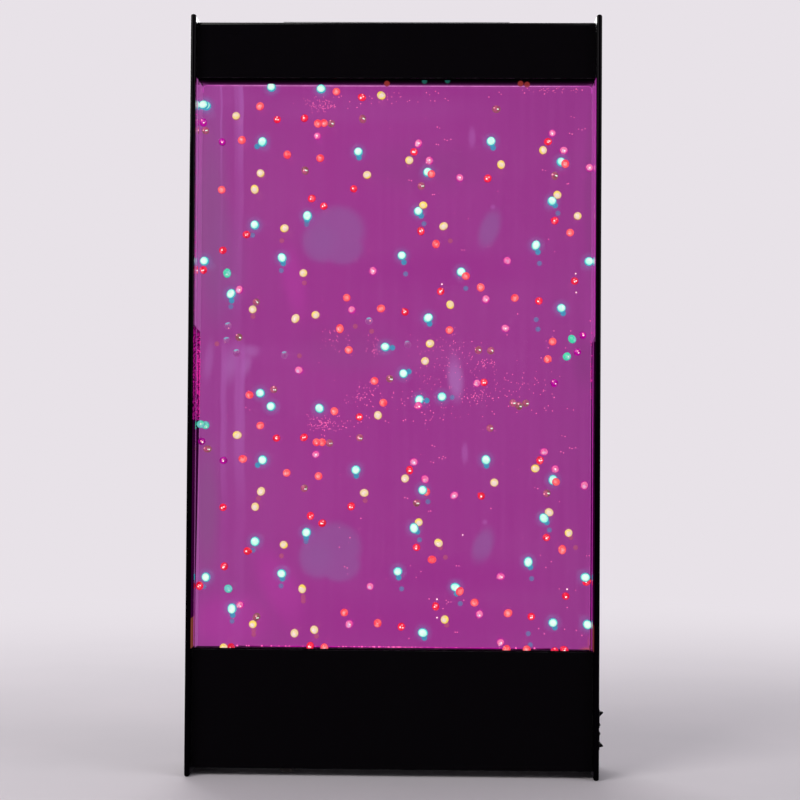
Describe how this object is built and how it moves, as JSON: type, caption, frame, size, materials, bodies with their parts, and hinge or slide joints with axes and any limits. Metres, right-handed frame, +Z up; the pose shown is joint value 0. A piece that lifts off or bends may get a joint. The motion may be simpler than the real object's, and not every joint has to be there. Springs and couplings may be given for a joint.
{
  "type": "bubble wall light",
  "caption": "Tall shallow wall panel: black gloss cheeks and covers, a magenta-lit water tank with drifting coloured beads, and two rocker switches on one side.",
  "frame": {"origin": "middle of the surface that the cheeks' lower ends stand on, below the panel's centre, with the switches' stand-out counted in the width", "axes": "+Z up along the panel's height; +Y from the front pane back to the wall; +X to the right as seen from the front, towards the switches"},
  "size_m": [0.4564, 0.1, 0.833],
  "materials": {
    "black_gloss": "polished black acrylic",
    "black_satin": "satin black plastic",
    "zinc": "zinc-plated steel",
    "aluminium": "mill-finish extrusion",
    "clear_acrylic": "polished clear acrylic",
    "opal": "opal sheet, lit magenta and violet from behind",
    "white_film": "white reflector film",
    "board_white": "white circuit strip",
    "board_green": "green circuit board",
    "grey_plastic": "moulded dark grey plastic",
    "foam": "closed-cell foam",
    "soft_rubber": "black rubber",
    "clear_plastic": "clear moulded plastic",
    "clear_silicone": "clear silicone hose",
    "nickel": "nickel-plated brass",
    "black_rubber": "black cable sheath",
    "bead_mint": "glossy turquoise bead",
    "bead_cream": "glossy cream bead",
    "bead_coral": "glossy coral bead",
    "bead_magenta": "glossy magenta bead"
  },
  "bodies": {
    "housing": {"left_cheek": "black_gloss", "right_cheek": "black_gloss", "top_fascia": "black_gloss", "bottom_fascia": "black_gloss", "top_plate": "black_gloss", "base_plate": "black_satin", "screw_block_left": "black_satin", "screw_block_right": "black_satin", "back_panel": "black_satin", "tank_shelf": "black_satin", "bubble_bar": "black_satin", "pump_switch": "black_satin", "light_switch": "black_satin", "base_screw_1": "zinc", "base_screw_2": "zinc", "base_screw_3": "zinc", "base_screw_4": "zinc", "hanger_screw_1": "zinc", "hanger_screw_2": "zinc", "hanger_rail": "aluminium", "wall_bracket": "aluminium", "led_channel_bottom": "aluminium", "led_channel_top": "aluminium", "front_pane": "clear_acrylic", "back_pane": "clear_acrylic", "tank_floor": "clear_acrylic", "tank_lid": "clear_acrylic", "light_guide": "clear_acrylic", "diffuser": "opal", "reflector": "white_film", "led_strip_bottom": "board_white", "led_strip_top": "board_white", "control_board": "board_green", "board_tray": "grey_plastic", "pump_body": "grey_plastic", "pump_cover": "grey_plastic", "pump_pad": "foam", "check_valve": "clear_plastic", "pump_hose": "clear_silicone", "riser_hose": "clear_silicone", "tank_inlet": "nickel", "power_socket": "nickel", "inlet_lead": "black_rubber", "pump_lead": "black_rubber", "light_lead": "black_rubber", "switch_lead": "black_rubber", "bead_mint_1": "bead_mint", "bead_mint_2": "bead_mint", "bead_mint_3": "bead_mint", "bead_mint_4": "bead_mint", "bead_cream_1": "bead_cream", "bead_cream_2": "bead_cream", "bead_cream_3": "bead_cream", "bead_coral_1": "bead_coral", "bead_coral_2": "bead_coral", "bead_magenta_1": "bead_magenta"},
    "upper_rocker": {"pump_rocker": "black_gloss"},
    "lower_rocker": {"light_rocker": "black_gloss"},
    "lid": {"service_lid": "black_gloss"},
    "plug": {"filler_plug": "soft_rubber"}
  },
  "joints": [
    {"name": "pump_rocker_tip", "type": "hinge", "parent": "housing", "child": "upper_rocker", "pos_m": [0.22288, -0.02, 0.0642], "axis": [0, -1, 0], "range_deg": [0, 24]},
    {"name": "light_rocker_tip", "type": "hinge", "parent": "housing", "child": "lower_rocker", "pos_m": [0.22288, -0.02, 0.0402], "axis": [0, 1, 0], "range_deg": [0, 24]},
    {"name": "service_lid_lift", "type": "slide", "parent": "housing", "child": "lid", "axis": [0, 0, 1], "range_m": [0, 0.006]},
    {"name": "filler_plug_pull", "type": "slide", "parent": "housing", "child": "plug", "axis": [0, 0, 1], "range_m": [0, 0.008]}
  ]
}
